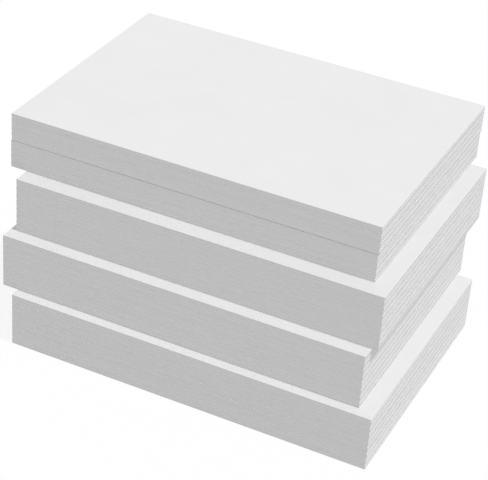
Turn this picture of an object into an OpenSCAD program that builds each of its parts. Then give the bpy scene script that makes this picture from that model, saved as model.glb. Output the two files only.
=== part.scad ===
// Pack of chipboard sheets
//
// Four stacks of cut board lie one on another, each a little out of line with the one below.
// Every sheet is a solid of its own. It is cut on a guillotine, so its sides are square, and
// its edges are eased: more on the face where the blade goes in, less where it comes out, and
// more on the short sides, which are cut across the grain of the board.
// The origin is under the middle of the bottom sheet. Z points up, the long sides run along X,
// and the side that faces the viewer is -Y.

/* [Sheet] */
// Length of a sheet
sheet_l = 297; // [148:1:594]
// Width of a sheet
sheet_w = 210; // [105:1:420]
// Thickness of the board
board_t = 2.2; // [1:0.1:4]
// Air that stays between two boards, because neither is quite flat
air_gap = 0.05; // [0.02:0.01:0.3]

/* [Long cut edges] */
// Edge drawn down on the upper face, where the blade goes in
long_top_ease = 0.08; // [0.02:0.02:0.4]
// Edge left by the blade on the lower face, where it comes out
long_bottom_ease = 0.06; // [0.02:0.02:0.4]

/* [Short cut edges] */
// Edge drawn down on the upper face, where the blade goes in
short_top_ease = 0.24; // [0.02:0.02:0.4]
// Edge left by the blade on the lower face, where it comes out
short_bottom_ease = 0.16; // [0.02:0.02:0.4]

/* [Stack] */
// Sheets in each stack
sheets_per_stack = 20; // [2:1:30]
// How far a sheet may slip along its length when the stack is knocked up by hand
length_slip = 0.1; // [0:0.01:1]
// How far it may slip along its width, where the stack stood on the table as it was knocked up
width_slip = 0.03; // [0:0.01:1]

/* [Second stack] */
// How far it lies to the left of the bottom stack
second_left = 13; // [-60:1:60]
// How far it lies behind the bottom stack
second_back = 8; // [-60:1:60]

/* [Third stack] */
// How far it lies to the left of the second stack: it juts out to the right, so this is below zero
third_left = -5; // [-60:1:60]
// How far it lies behind the second stack
third_back = 11; // [-60:1:60]

/* [Top stack] */
// How far it lies to the left of the third stack
top_left = 13; // [-60:1:60]
// How far it lies behind the third stack
top_back = 14; // [-60:1:60]
// Sheets in its lower lift, which was laid down before the rest
lower_lift = 10; // [0:1:30]
// How far the lower lift lies to the left of the rest
lift_left = 0.5; // [0:0.1:3]
// Air between the lower lift and the rest: two lifts never bed down as closely as the sheets in one
lift_gap = 0.4; // [0.05:0.05:0.8]

/* [Hidden] */
// A node holds two sheets that lie on each other, as two solids
per_node = 2;
// Sheets are counted from this number, from the bottom of their stack
first_sheet = 1;
// The slip of the sheets turns by this angle from one sheet to the next
slip_turn = 137.5;
// The slips of the length and of the width are this far out of step
slip_lead = 71;
// A section is extruded this far past the side that the other section cuts
overrun = 1;
board_color = "gainsboro";

pitch = board_t + air_gap;
stack_h = sheets_per_stack * pitch;

// Each stack's name, and its step to the left and to the back from the stack below
STACKS = [
    ["bottom_stack", 0, 0],
    ["second_stack", second_left, second_back],
    ["third_stack", third_left, third_back],
    ["top_stack", top_left, top_back]
];
top = len(STACKS) - 1;

function stack_left(s) = s == 0 ? 0 : stack_left(s - 1) + STACKS[s][1];
function stack_back(s) = s == 0 ? 0 : stack_back(s - 1) + STACKS[s][2];

function slip_angle(s, n) = slip_turn * (s * sheets_per_stack + n);
function in_lower_lift(s, n) = s == top && n <= lower_lift;
function over_lower_lift(s, n) = s == top && n > lower_lift;
function lift_x(s, n) = in_lower_lift(s, n) ? -lift_left : 0;
function lift_z(s, n) = over_lower_lift(s, n) ? lift_gap - air_gap : 0;
function sheet_x(s, n) = lift_x(s, n) - stack_left(s) + length_slip * sin(slip_angle(s, n));
function sheet_y(s, n) = stack_back(s) + width_slip * sin(slip_angle(s, n) + slip_lead);
function sheet_z(s, n) = s * stack_h + (n - first_sheet) * pitch + lift_z(s, n);

function two_digits(n) = n < 10 ? str("0", n) : str(n);
function last_of(first) = min(first + per_node - 1, sheets_per_stack);
function node_name(s, first) = str(STACKS[s][0], "_sheets_", two_digits(first), "_", two_digits(last_of(first)));

// Section of a board of this width, with its corners eased above and below
module board_section(width, top_ease, bottom_ease) {
    half = width / 2;
    polygon([
        [-half + bottom_ease, 0],
        [half - bottom_ease, 0],
        [half, bottom_ease],
        [half, board_t - top_ease],
        [half - top_ease, board_t],
        [-half + top_ease, board_t],
        [-half, board_t - top_ease],
        [-half, bottom_ease]
    ]);
}

// One sheet: what its long section and its cross section have in common
module sheet() {
    intersection() {
        rotate([90, 0, 0])
            linear_extrude(height = sheet_w + 2 * overrun, center = true)
                board_section(sheet_l, short_top_ease, short_bottom_ease);
        rotate([90, 0, 90])
            linear_extrude(height = sheet_l + 2 * overrun, center = true)
                board_section(sheet_w, long_top_ease, long_bottom_ease);
    }
}

// The sheets of one node, each where the hand left it
module sheets(s, first) {
    color(board_color)
        for (n = [first : last_of(first)])
            translate([sheet_x(s, n), sheet_y(s, n), sheet_z(s, n)])
                sheet();
}

for (s = [0 : top])
    for (first = [first_sheet : per_node : sheets_per_stack])
        sheets(s, first);
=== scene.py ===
# %% [markdown]
# # A pack of chipboard sheets
#
# The real object is nothing but loose sheets: eighty A4 boards, a little over two millimetres
# thick, in four stacks of twenty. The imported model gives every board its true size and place.
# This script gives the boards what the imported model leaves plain: an edge that a guillotine
# has pressed and torn, a pale smooth liner, and the grey of cut fibre between two liners.
#
# Lengths are in metres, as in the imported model. Z points up, the long sides run along X,
# and the side that faces the viewer is -Y.

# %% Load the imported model
import math

import bpy
import numpy as np
from mathutils import Matrix, Vector


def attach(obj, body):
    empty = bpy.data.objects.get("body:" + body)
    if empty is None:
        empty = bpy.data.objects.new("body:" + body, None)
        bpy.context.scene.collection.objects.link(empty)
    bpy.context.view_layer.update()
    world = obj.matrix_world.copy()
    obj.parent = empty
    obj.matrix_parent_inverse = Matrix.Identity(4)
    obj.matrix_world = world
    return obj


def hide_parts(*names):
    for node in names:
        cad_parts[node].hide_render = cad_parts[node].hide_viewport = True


MM = 0.001

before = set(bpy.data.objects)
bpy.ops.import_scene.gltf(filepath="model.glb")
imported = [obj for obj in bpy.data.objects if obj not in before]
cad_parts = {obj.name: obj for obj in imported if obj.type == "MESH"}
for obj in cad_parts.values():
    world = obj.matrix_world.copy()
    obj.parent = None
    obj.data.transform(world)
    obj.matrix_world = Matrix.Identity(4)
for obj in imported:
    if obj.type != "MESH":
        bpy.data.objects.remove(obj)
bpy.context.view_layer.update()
print("nodes in the packed model:", len(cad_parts))

# %% [markdown]
# ## Where each board lies
#
# A node holds two boards that lie on each other. Their places could be typed in again here,
# but then the looks and the construction could drift apart. They are read from the packed
# solids instead: the lower board is what lies under the middle of the node, and the upper
# board is what lies over it.

# %% Find the two boards of each node


def board_boxes(node):
    """Lowest and highest corner of each of a node's two boards, from the vertices on either side of
    its mid height."""
    mesh = node.data
    points = np.zeros(len(mesh.vertices) * 3)
    mesh.vertices.foreach_get("co", points)
    points = points.reshape(-1, 3)
    middle = (points[:, 2].min() + points[:, 2].max()) / 2
    halves = (points[points[:, 2] < middle], points[points[:, 2] > middle])
    return [(half.min(axis=0), half.max(axis=0)) for half in halves]


boards = {name: board_boxes(node) for name, node in sorted(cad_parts.items())}
low, high = boards["bottom_stack_sheets_01_02"][0]
BOARD_SIZE = high - low
print("one board, mm:", np.round(BOARD_SIZE / MM, 2))

# %% [markdown]
# ## The section of a cut edge
#
# A guillotine blade comes down through a whole lift of boards. Where it enters a board it draws
# the liner down into a small shoulder, and where it leaves it lifts a smaller one. Across the
# grain, on the short sides, the board crushes more. A Bevel modifier would make one shoulder all
# round. Here each ring of the rim is a rectangle at its own height, which stands in by one
# distance on the long sides and by another on the short ones.
#
# The rings start on the underside, a rim's width in from the side, come out round the lower
# shoulder, go up the cut side, round the upper shoulder and back in over the upper face.

# %% Rings of a board's rim
RIM = 1.5 * MM
LONG_SHOULDERS = (0.06 * MM, 0.08 * MM)
SHORT_SHOULDERS = (0.16 * MM, 0.24 * MM)
RING_DEPTHS = np.array([0, 0.04, 0.12, 0.33, 1])


def stands_in(depth, shoulder):
    """Quarter circle: a shoulder of radius r stands in by r - sqrt(r^2 - (r - depth)^2) at this
    depth from its face."""
    left = np.clip(shoulder - depth, 0, shoulder)
    return shoulder - np.sqrt(shoulder**2 - left**2)


def rim_rings(thickness):
    """Height of each ring, how far it stands in on the long and on the short sides, and how much it
    gives way with the lower and with the upper shoulder."""
    lower, upper = (RING_DEPTHS * shoulder for shoulder in SHORT_SHOULDERS)
    height = np.concatenate(([0], lower, thickness - upper[::-1], [thickness]))
    insets = []
    for below, above in (LONG_SHOULDERS, SHORT_SHOULDERS):
        rounded = np.concatenate((stands_in(lower, below), stands_in(upper, above)[::-1]))
        insets.append(np.concatenate(([RIM], rounded, [RIM])))
    flat = np.zeros(len(RING_DEPTHS))
    lower_give = np.concatenate(([0], 1 - RING_DEPTHS, flat, [0]))
    upper_give = np.concatenate(([0], flat, 1 - RING_DEPTHS[::-1], [0]))
    return height, insets[0], insets[1], lower_give, upper_give


SIDE_BAND = len(RING_DEPTHS)
print("rings from the underside to the upper face:", len(rim_rings(BOARD_SIZE[2])[0]))

# %% [markdown]
# ## How an edge wanders
#
# Board is pressed pulp, so no edge is quite straight: it bows by hundredths of a millimetre,
# and the air between two boards opens and closes along the stack. Noise could be added vertex
# by vertex, but it would not meet itself at the end of the way round. A sum of waves with whole
# numbers of turns round the board always does.

# %% Wandering values round the outline
WAVES = 40
FEWEST_TURNS, MOST_TURNS = 3, 90
LEAST_WEIGHT = 0.3


def wander(turns, rng):
    """Sum of cosines with random whole turns, weights and phases, squeezed into 0 to 1. turns runs
    from 0 to 1 round the board."""
    count = rng.integers(FEWEST_TURNS, MOST_TURNS, WAVES)
    weight = rng.uniform(LEAST_WEIGHT, 1, WAVES) / np.sqrt(count)
    phase = rng.uniform(0, 2 * math.pi, WAVES)
    waves = (weight * np.cos(2 * math.pi * turns[:, None] * count + phase)).sum(axis=1)
    return 0.5 + 0.5 * np.tanh(waves / waves.std())


# %% [markdown]
# ## One board
#
# A board is its section carried round its outline. The outline is a rectangle with sharp
# corners, and a ring that lies further in is the same rectangle made smaller, so the corners
# are mitred. Two flat polygons close the board above and below. Everything is worked out as
# whole arrays: rows follow the section and columns follow the outline.

# %% Carry the section round a board
STEP = 3 * MM
SHOULDER_GIVE = 0.03 * MM
SIDE_GIVE = 0.02 * MM


def side_steps(size):
    """Which of the four sides each step round the outline runs along, and the share of that side at
    which the step begins and at which it ends. Sides 0 and 2 are the long ones."""
    counts = [round(length / STEP) for length in (size[0], size[1], size[0], size[1])]
    side = np.repeat(np.arange(4), counts)
    number = np.concatenate([np.arange(count) for count in counts])
    return side, number / np.array(counts)[side], (number + 1) / np.array(counts)[side]


def outline(size):
    """Points round a rectangle centred on the origin, each its side's first corner plus its share
    of that side, and how far round each one is."""
    half_x, half_y = size[0] / 2, size[1] / 2
    corners = np.array([[-half_x, -half_y], [half_x, -half_y], [half_x, half_y], [-half_x, half_y]])
    side, begins, _ = side_steps(size)
    points = corners[side] + (np.roll(corners, -1, axis=0) - corners)[side] * begins[:, None]
    gaps = np.linalg.norm(np.roll(points, -1, axis=0) - points, axis=1)
    return points, np.concatenate(([0], np.cumsum(gaps)[:-1])) / gaps.sum()


def board_surface(low, high, rng):
    """Vertices as rings by outline. Each ring is the outline made smaller by what it stands in on
    either side. The shoulders sink and rise, and the side moves in, by wandering values that never
    pass the board's true size."""
    size = high - low
    points, turns = outline(size)
    height, long_inset, short_inset, lower_give, upper_give = rim_rings(size[2])
    side = SIDE_GIVE * wander(turns, rng)
    outer = (long_inset < RIM)[:, None]
    upward = (
        height[:, None]
        + lower_give[:, None] * SHOULDER_GIVE * wander(turns, rng)
        - upper_give[:, None] * SHOULDER_GIVE * wander(turns, rng)
    )
    middle = (low + high) / 2
    x = middle[0] + points[:, 0] * (1 - (short_inset[:, None] + outer * side) / (size[0] / 2))
    y = middle[1] + points[:, 1] * (1 - (long_inset[:, None] + outer * side) / (size[1] / 2))
    return np.stack((x, y, low[2] + upward), axis=2)


def board_faces(rows, columns, first):
    """Quads between neighbouring rows and columns, closed round the outline, and one polygon on
    each flat face."""
    index = first + np.arange(rows * columns).reshape(rows, columns)
    following = np.roll(index, -1, axis=1)
    quads = np.stack((index[:-1], following[:-1], following[1:], index[1:]), axis=2).reshape(-1, 4)
    return quads.tolist(), index[0][::-1].tolist(), index[-1].tolist()


print("steps round a board:", len(outline(BOARD_SIZE)[0]))

# %% [markdown]
# ## The boards laid flat
#
# An exported model carries a finish as an image, so each piece needs a flat map of its surface.
# Blender could unwrap it, but it draws all faces to one scale, and then a cut side is only four
# pixels high, too few for two liners and the plies between them. So the map is laid out here,
# as a sheet of patterns would be: the four flat faces of a node's two boards lie side by side
# in the lower part, and their eight cut sides lie above as long strips, drawn out in height.
# The finishes themselves don't read this map.

# %% Lay a board flat on the map
MAP_NAME = "OFBake"
MAP_PIXELS = 1024
MAP_MARGIN = 2 / MAP_PIXELS
FLAT_PART = 0.70
SIDES_ON_MAP = 8
STRIP = (1 - FLAT_PART) / SIDES_ON_MAP


def section_way(height, inset):
    """How far each ring is along the section, as a share of the whole way: the sum of the distances
    from ring to ring."""
    way = np.concatenate(([0], np.cumsum(np.hypot(np.diff(height), np.diff(inset)))))
    return way / way[-1]


def in_cell(across, upward, left, bottom, width, height):
    """Shares of 0 to 1 put into a cell of the map, with a margin all round it."""
    return np.stack(
        (
            left + MAP_MARGIN + across * (width - 2 * MAP_MARGIN),
            bottom + MAP_MARGIN + upward * (height - 2 * MAP_MARGIN),
        ),
        axis=-1,
    )


def laid_flat(grid, low, high, board):
    """Place on the map of each corner of each face, in the order of board_faces. On a flat face it
    is the share of the board's length and width, turned over for the underside. On a cut side it is
    the share of that side's length, and the way round the section."""
    size = high - low
    height, long_inset, short_inset, _, _ = rim_rings(size[2])
    side, begins, ends = side_steps(size)
    ways = [section_way(height[1:-1], inset[1:-1]) for inset in (long_inset, short_inset)]
    way = np.stack(ways, axis=1)[:, side % 2]
    along = np.stack((begins, ends, ends, begins), axis=1)
    along = np.broadcast_to(along, (len(way) - 1, *along.shape))
    upward = np.stack((way[:-1], way[:-1], way[1:], way[1:]), axis=2)
    strip = (FLAT_PART + (4 * board + side) * STRIP)[:, None]
    sides = in_cell(along, upward, 0, strip, 1, STRIP)
    share = (grid[..., :2] - low[:2]) / size[:2]
    row = board * FLAT_PART / 2
    under = in_cell(1 - share[..., 0], share[..., 1], 0, row, 0.5, FLAT_PART / 2)
    over = in_cell(share[..., 0], share[..., 1], 0.5, row, 0.5, FLAT_PART / 2)
    rims = []
    for ring, next_ring in ((under[0], under[1]), (over[-2], over[-1])):
        following = np.roll(ring, -1, axis=0), np.roll(next_ring, -1, axis=0)
        rims.append(np.stack((ring, *following, next_ring), axis=1))
    places = (rims[0], sides, rims[1], under[0][::-1], over[-1])
    return np.concatenate([part.reshape(-1, 2) for part in places])


print("rows of pixels on a flat face:", round(FLAT_PART / 2 * MAP_PIXELS))
print("rows of pixels on a cut side:", round(STRIP * MAP_PIXELS))

# %% [markdown]
# ## The liner
#
# The faces of this board are lined with bleached paper: nearly white, matt, with the cloudy
# look that pulp has when it settles. One colour would look like plastic. Two noises do it: a
# broad one for the clouds and a fine one for the fibres, which also lift the surface a little.
# The patterns read Object coordinates, so they stay on the board from every side.

# %% Material of the liner
LINER_DARK, LINER_LIGHT = 0.805, 0.845
CLOUDS, CLOUD_DETAIL = 30, 4
FIBRES, FIBRE_DETAIL = 900, 3
FIBRES_IN_LINER = 0.4
BATCH_IN_LINER = 0.25
DARK_END, LIGHT_END = 0.3, 0.7
LINER_ROUGHNESS = 0.75
LINER_BUMP, LINER_FIBRE = 0.15, 0.02 * MM


def tone(value):
    """A neutral grey as a linear colour."""
    return (value, value, value, 1)


def shader(name):
    """A new material, its node tree's links and its Principled node."""
    material = bpy.data.materials.new(name)
    material.use_nodes = True
    return material, material.node_tree.links, material.node_tree.nodes["Principled BSDF"]


def grain(material, scale, detail, stretch=(1, 1, 1)):
    """Noise on Object coordinates, with the coordinates first stretched by three factors."""
    nodes, links = material.node_tree.nodes, material.node_tree.links
    place = nodes.new("ShaderNodeTexCoord")
    mapping = nodes.new("ShaderNodeMapping")
    mapping.inputs["Scale"].default_value = stretch
    noise = nodes.new("ShaderNodeTexNoise")
    noise.inputs["Scale"].default_value = scale
    noise.inputs["Detail"].default_value = detail
    links.new(place.outputs["Object"], mapping.inputs["Vector"])
    links.new(mapping.outputs["Vector"], noise.inputs["Vector"])
    return noise.outputs["Fac"]


def weighed(material, first, second, share):
    """The second value takes this share, and the first one the rest."""
    nodes, links = material.node_tree.nodes, material.node_tree.links
    part = nodes.new("ShaderNodeMath")
    part.operation = "MULTIPLY"
    part.inputs[1].default_value = 1 - share
    whole = nodes.new("ShaderNodeMath")
    whole.operation = "MULTIPLY_ADD"
    whole.inputs[1].default_value = share
    links.new(first, part.inputs[0])
    links.new(second, whole.inputs[0])
    links.new(part.outputs[0], whole.inputs[2])
    return whole.outputs[0]


def board_value(material, name):
    """A value that the boards' own mesh carries."""
    carried = material.node_tree.nodes.new("ShaderNodeAttribute")
    carried.attribute_name = name
    return carried.outputs["Fac"]


def ramp(material, value, stops):
    """Neutral greys at these stops, each as position and tone."""
    node = material.node_tree.nodes.new("ShaderNodeValToRGB")
    elements = node.color_ramp.elements
    elements[0].position, elements[0].color = stops[0][0], tone(stops[0][1])
    elements[1].position, elements[1].color = stops[-1][0], tone(stops[-1][1])
    for position, value_there in stops[1:-1]:
        elements.new(position).color = tone(value_there)
    material.node_tree.links.new(value, node.inputs["Fac"])
    return node.outputs["Color"]


def raised(material, height, strength, distance):
    """Bump from a height."""
    bump = material.node_tree.nodes.new("ShaderNodeBump")
    bump.inputs["Strength"].default_value = strength
    bump.inputs["Distance"].default_value = distance
    material.node_tree.links.new(height, bump.inputs["Height"])
    return bump.outputs["Normal"]


def liner_finish():
    """Bleached liner: clouds and fibres over a tone that differs a little from board to board."""
    material, links, surface = shader("white_liner")
    fibres = grain(material, FIBRES, FIBRE_DETAIL)
    pulp = weighed(material, grain(material, CLOUDS, CLOUD_DETAIL), fibres, FIBRES_IN_LINER)
    shade = weighed(material, pulp, board_value(material, "batch"), BATCH_IN_LINER)
    colour = ramp(material, shade, [(DARK_END, LINER_DARK), (LIGHT_END, LINER_LIGHT)])
    links.new(colour, surface.inputs["Base Color"])
    surface.inputs["Roughness"].default_value = LINER_ROUGHNESS
    links.new(raised(material, fibres, LINER_BUMP, LINER_FIBRE), surface.inputs["Normal"])
    return material


white_liner = liner_finish()
print("liner from", LINER_DARK, "to", LINER_LIGHT)

# %% [markdown]
# ## The cut sides
#
# Between its liners the board is pressed from several plies of pulp, and the blade leaves them
# as fine streaks that run along the side. The fibres lie mostly along the board. So the long
# sides are cut with the grain and come out smooth, with liners hardly paler than the core. The
# short sides are cut across it: their core shows fibre ends, open, speckled and a little rough.
# There the liner's lip is painted almost white, paler than the liner's own colour: a painted
# highlight, which also makes the short sides lighter overall and stands in for part of the light
# that falls on them. An image could show all this, but a noise that is squeezed in height does
# it at any distance, and one pattern serves every side.
# The mesh carries each point's height in its own board, which puts the liners at the top and
# the foot of every board.

# %% Materials of the cut sides
WITH_GRAIN = {"dark": 0.695, "light": 0.750, "liner": 0.745, "tufts": 0.35, "batch": 0.15, "rough": 0.4}
# Across the grain the liner value 0.97 is a painted highlight on the liner's lip, paler than the liner
# itself; it lightens the short sides overall in place of part of the lamp's light.
ACROSS_GRAIN_PAINTED_LIGHT = {"dark": 0.41, "light": 0.83, "liner": 0.97, "tufts": 0.80, "batch": 0.07, "rough": 0.7}
LINER_SHARE, LINER_BLEND = 0.20, 0.6
PLIES, PLY_DETAIL = 110, 3
PLY_SQUEEZE = 22
CUT_ROUGHNESS = 0.9
TORN_FIBRE = 0.05 * MM


def cut_finish(name, cut_look):
    """Cut fibre: streaks along the board, tufts of torn fibre, and both liners seen on edge, in a liner
    tone that across the grain is a painted highlight.
    """
    material, links, surface = shader(name)
    plies = grain(material, PLIES, PLY_DETAIL, (1, 1, PLY_SQUEEZE))
    tufts = grain(material, FIBRES, FIBRE_DETAIL)
    fibre = weighed(material, plies, tufts, cut_look["tufts"])
    shade = weighed(material, fibre, board_value(material, "batch"), cut_look["batch"])
    core = ramp(material, shade, [(DARK_END, cut_look["dark"]), (LIGHT_END, cut_look["light"])])
    lower = [(0, 1), (LINER_SHARE, LINER_BLEND), (2 * LINER_SHARE, 0)]
    upper = [(1 - height, amount) for height, amount in reversed(lower)]
    liners = ramp(material, board_value(material, "height"), lower + upper)
    mix = material.node_tree.nodes.new("ShaderNodeMixRGB")
    # Tone of the liners seen on edge; across the grain it is the painted highlight.
    mix.inputs["Color2"].default_value = tone(cut_look["liner"])
    links.new(liners, mix.inputs["Fac"])
    links.new(core, mix.inputs["Color1"])
    links.new(mix.outputs["Color"], surface.inputs["Base Color"])
    surface.inputs["Roughness"].default_value = CUT_ROUGHNESS
    links.new(raised(material, fibre, cut_look["rough"], TORN_FIBRE), surface.inputs["Normal"])
    return material


cut_with_grain = cut_finish("cut_with_grain", WITH_GRAIN)
cut_across_grain_painted_light = cut_finish("cut_across_grain_painted_light", ACROSS_GRAIN_PAINTED_LIGHT)
print("with the grain", WITH_GRAIN, "across the grain", ACROSS_GRAIN_PAINTED_LIGHT)

# %% [markdown]
# ## The eighty boards
#
# Each node's two boards become one piece of the scene, which takes the place of the plain
# solids. On the long sides the shoulders keep the liner's finish, because the blade only folds
# it down there, and on the short sides it tears, so the shoulders belong to the cut. Every board
# draws its own wandering values, so no two edges are alike. The numbers come from one seeded
# source, and so the pack is the same each time it is made.

# %% Build the boards on their nodes
LINER_SLOT, WITH_SLOT, ACROSS_PAINTED_LIGHT_SLOT = 0, 1, 2
SEED = 20
chance = np.random.default_rng(SEED)


def board_piece(name, boxes):
    """One mesh with the boards of one node, with the liner and both kinds of cut side as its
    finishes."""
    vertices, faces, slots, heights, batches, places = [], [], [], [], [], []
    first = 0
    for number, (low, high) in enumerate(boxes):
        grid = board_surface(low, high, chance)
        short = side_steps(high - low)[0] % 2 == 1
        rows, columns = grid.shape[:2]
        quads, under, over = board_faces(rows, columns, first)
        vertices.append(grid.reshape(-1, 3))
        faces += quads + [under, over]
        bands = np.full((rows - 1, columns), LINER_SLOT)
        bands[SIDE_BAND] = WITH_SLOT
        # The short sides, shoulders included, take the finish with the painted highlight on the liner lip.
        bands[1:-1, short] = ACROSS_PAINTED_LIGHT_SLOT
        slots += bands.ravel().tolist() + [LINER_SLOT, LINER_SLOT]
        heights.append(((grid[..., 2] - low[2]) / (high[2] - low[2])).ravel())
        batches.append(np.full(rows * columns, chance.random()))
        places.append(laid_flat(grid, low, high, number))
        first += rows * columns
    mesh = bpy.data.meshes.new(name)
    mesh.from_pydata(np.concatenate(vertices).tolist(), [], faces)
    mesh.polygons.foreach_set("material_index", slots)
    for finish in (white_liner, cut_with_grain, cut_across_grain_painted_light):
        mesh.materials.append(finish)
    for label, values in (("height", heights), ("batch", batches)):
        mesh.attributes.new(label, "FLOAT", "POINT").data.foreach_set("value", np.concatenate(values))
    mesh.uv_layers.new(name=MAP_NAME).data.foreach_set("uv", np.concatenate(places).ravel())
    mesh.update()
    piece = bpy.data.objects.new(name, mesh)
    bpy.context.scene.collection.objects.link(piece)
    return piece


triangles = 0
for name, boxes in boards.items():
    piece = board_piece(name.replace("sheets", "boards"), boxes)
    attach(piece, "root")
    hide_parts(name)
    piece.data.calc_loop_triangles()
    triangles += len(piece.data.loop_triangles)
print("pieces:", len(boards), "triangles:", triangles)

# %% [markdown]
# ## The floor
#
# The photo's ground is plain white with no shadow on it. A floor bright enough to show as
# white would light the undersides and the sides of the boards too much. So the floor has two
# faces: to the camera it is mostly a white of strength 1, and to light it is a pale grey, which
# bounces about as much as a real table. The part of it that stays plain paint keeps the shadow.

# %% Floor and surroundings
FLOOR_SIZE = 12.0
FLOOR_BOUNCE = 0.8
FLOOR_PAINT = 0.99
FLOOR_GLOW = 0.85


def seen_directly(tree):
    """1 for rays from the camera, and for rays that mirror or pass on what the camera sees."""
    path = tree.nodes.new("ShaderNodeLightPath")
    either = tree.nodes.new("ShaderNodeMath")
    either.operation = "MAXIMUM"
    tree.links.new(path.outputs["Is Camera Ray"], either.inputs[0])
    tree.links.new(path.outputs["Is Glossy Ray"], either.inputs[1])
    all_three = tree.nodes.new("ShaderNodeMath")
    all_three.operation = "MAXIMUM"
    tree.links.new(either.outputs[0], all_three.inputs[0])
    tree.links.new(path.outputs["Is Transmission Ray"], all_three.inputs[1])
    return all_three.outputs[0]


def floor_finish():
    """Pale grey to light, and white with a faint shadow to the camera."""
    material = bpy.data.materials.new("floor_white")
    material.use_nodes = True
    tree = material.node_tree
    tree.nodes.clear()
    bounce = tree.nodes.new("ShaderNodeBsdfDiffuse")
    bounce.inputs["Color"].default_value = tone(FLOOR_BOUNCE)
    paint = tree.nodes.new("ShaderNodeBsdfDiffuse")
    paint.inputs["Color"].default_value = tone(FLOOR_PAINT)
    glow = tree.nodes.new("ShaderNodeEmission")
    shown = tree.nodes.new("ShaderNodeMixShader")
    shown.inputs["Fac"].default_value = FLOOR_GLOW
    tree.links.new(paint.outputs[0], shown.inputs[1])
    tree.links.new(glow.outputs[0], shown.inputs[2])
    either = tree.nodes.new("ShaderNodeMixShader")
    tree.links.new(seen_directly(tree), either.inputs["Fac"])
    tree.links.new(bounce.outputs[0], either.inputs[1])
    tree.links.new(shown.outputs[0], either.inputs[2])
    out = tree.nodes.new("ShaderNodeOutputMaterial")
    tree.links.new(either.outputs[0], out.inputs["Surface"])
    return material


half = FLOOR_SIZE / 2
floor_mesh = bpy.data.meshes.new("floor")
corners = [(-half, -half, 0), (half, -half, 0), (half, half, 0), (-half, half, 0)]
floor_mesh.from_pydata(corners, [], [(0, 1, 2, 3)])
floor_mesh.materials.append(floor_finish())
floor = bpy.data.objects.new("floor", floor_mesh)
bpy.context.scene.collection.objects.link(floor)
print("floor", FLOOR_SIZE, "m square")

# %% [markdown]
# ## The light
#
# In the photo the upper faces are the brightest, the short sides come next and the long sides
# are in shade, each of one even tone. A lamp from the right and high above, on top of an even sky,
# gives that: the sky alone would make all sides alike, and the lamp alone would make the shaded
# side too dark. The lamp stands steeply and is fairly sharp, because a flat or broad one would
# not throw the thin shadow under the third stack, which juts out by only a few millimetres. The
# sum on the upper faces is 1, so their colour shows as it is written.

# %% Sky and lamp
# Part of the short sides' brightness does not come from this lamp: it is painted into their finish as a
# painted highlight on the liner lip.
SKY = 0.58
LAMP_TOP, LAMP_SHORT_SIDE = 0.42, 0.160
LAMP_SOFTNESS = 3

world = bpy.data.worlds.new("studio")
bpy.context.scene.world = world
world.use_nodes = True
tree = world.node_tree
tree.nodes.clear()
sky = tree.nodes.new("ShaderNodeBackground")
sky.inputs["Strength"].default_value = SKY
sky.inputs["Color"].default_value = tone(1)
backdrop = tree.nodes.new("ShaderNodeBackground")
backdrop.inputs["Color"].default_value = tone(1)
either = tree.nodes.new("ShaderNodeMixShader")
tree.links.new(seen_directly(tree), either.inputs["Fac"])
tree.links.new(sky.outputs[0], either.inputs[1])
tree.links.new(backdrop.outputs[0], either.inputs[2])
out = tree.nodes.new("ShaderNodeOutputWorld")
tree.links.new(either.outputs[0], out.inputs["Surface"])

towards = Vector((LAMP_SHORT_SIDE, 0, LAMP_TOP))
lamp_data = bpy.data.lights.new("lamp", "SUN")
lamp_data.energy = towards.length * math.pi
lamp_data.angle = math.radians(LAMP_SOFTNESS)
lamp = bpy.data.objects.new("lamp", lamp_data)
lamp.rotation_euler = towards.to_track_quat("Z", "Y").to_euler()
bpy.context.scene.collection.objects.link(lamp)
print("lamp strength", round(lamp_data.energy, 3))

# %% [markdown]
# ## The camera
#
# The photo looks down on the pack from the front right. The values below come from fitting a
# pinhole camera to the corners of the stacks. Its roll is small, and it stands about 1.3 m off,
# because the upper face narrows towards the back as much as it does from there. The lens is a
# hair wider than the fit gave, so that no corner is cut off by the frame.

# %% Camera at the photo's angle
AZIMUTH, ELEVATION, ROLL = 23.71, 32.16, 4.58
DISTANCE = 1.3212
AIM = Vector((0.0005, -0.0150, 0.0964))
LENS = 128.9

azimuth, elevation, roll = (math.radians(angle) for angle in (AZIMUTH, ELEVATION, ROLL))
back = Vector(
    (math.sin(azimuth) * math.cos(elevation), -math.cos(azimuth) * math.cos(elevation), math.sin(elevation))
)
level = Vector((math.cos(azimuth), math.sin(azimuth), 0))
upright = back.cross(level)
right = level * math.cos(roll) + upright * math.sin(roll)
up = upright * math.cos(roll) - level * math.sin(roll)
turn = Matrix((right, up, back)).transposed().to_4x4()

camera_data = bpy.data.cameras.new("camera")
camera_data.lens = LENS
camera = bpy.data.objects.new("camera", camera_data)
camera.matrix_world = Matrix.Translation(AIM + back * DISTANCE) @ turn
bpy.context.scene.collection.objects.link(camera)
bpy.context.scene.camera = camera
bpy.context.scene.view_settings.view_transform = "Standard"
print("camera at", [round(value, 3) for value in camera.matrix_world.translation])
